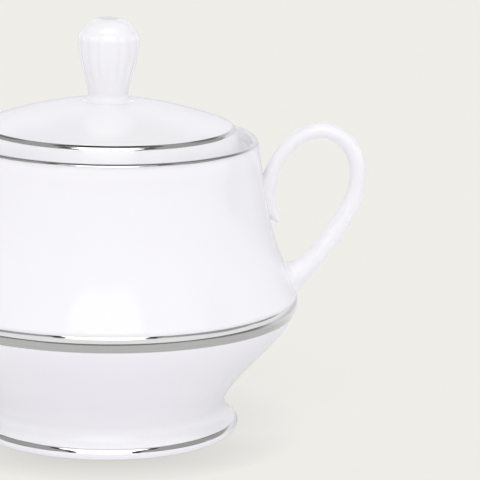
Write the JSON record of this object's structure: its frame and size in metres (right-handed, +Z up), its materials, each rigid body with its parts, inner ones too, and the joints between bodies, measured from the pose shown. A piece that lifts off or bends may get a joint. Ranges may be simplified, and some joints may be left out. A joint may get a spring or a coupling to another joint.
{
  "type": "covered sugar bowl",
  "caption": "White porcelain sugar bowl on a spreading foot, with loop handles, a domed lift-off lid with fluted finial, and platinum bands.",
  "frame": {"origin": "centre of the foot ring's underside, on the table", "axes": "+Z up along the bowl's axis; +X towards the right handle; +Y towards the back, square to both handles"},
  "size_m": [0.1502, 0.112, 0.1199],
  "materials": {
    "porcelain": "white bone china with a clear gloss glaze",
    "platinum": "fired platinum lustre, bright with a slight softness"
  },
  "bodies": {
    "bowl": {"bowl_body": "porcelain", "gallery_ring": "porcelain", "foot": "porcelain", "handle_right": "porcelain", "handle_left": "porcelain", "rim_band": "platinum", "belly_band": "platinum", "foot_band": "platinum"},
    "lid": {"lid": "porcelain", "lid_flange": "porcelain", "finial": "porcelain", "lid_band": "platinum", "finial_cap": "platinum"}
  },
  "joints": [
    {"name": "lid_lift", "type": "slide", "parent": "bowl", "child": "lid", "axis": [0, 0, 1], "range_m": [0, 0.05]}
  ]
}
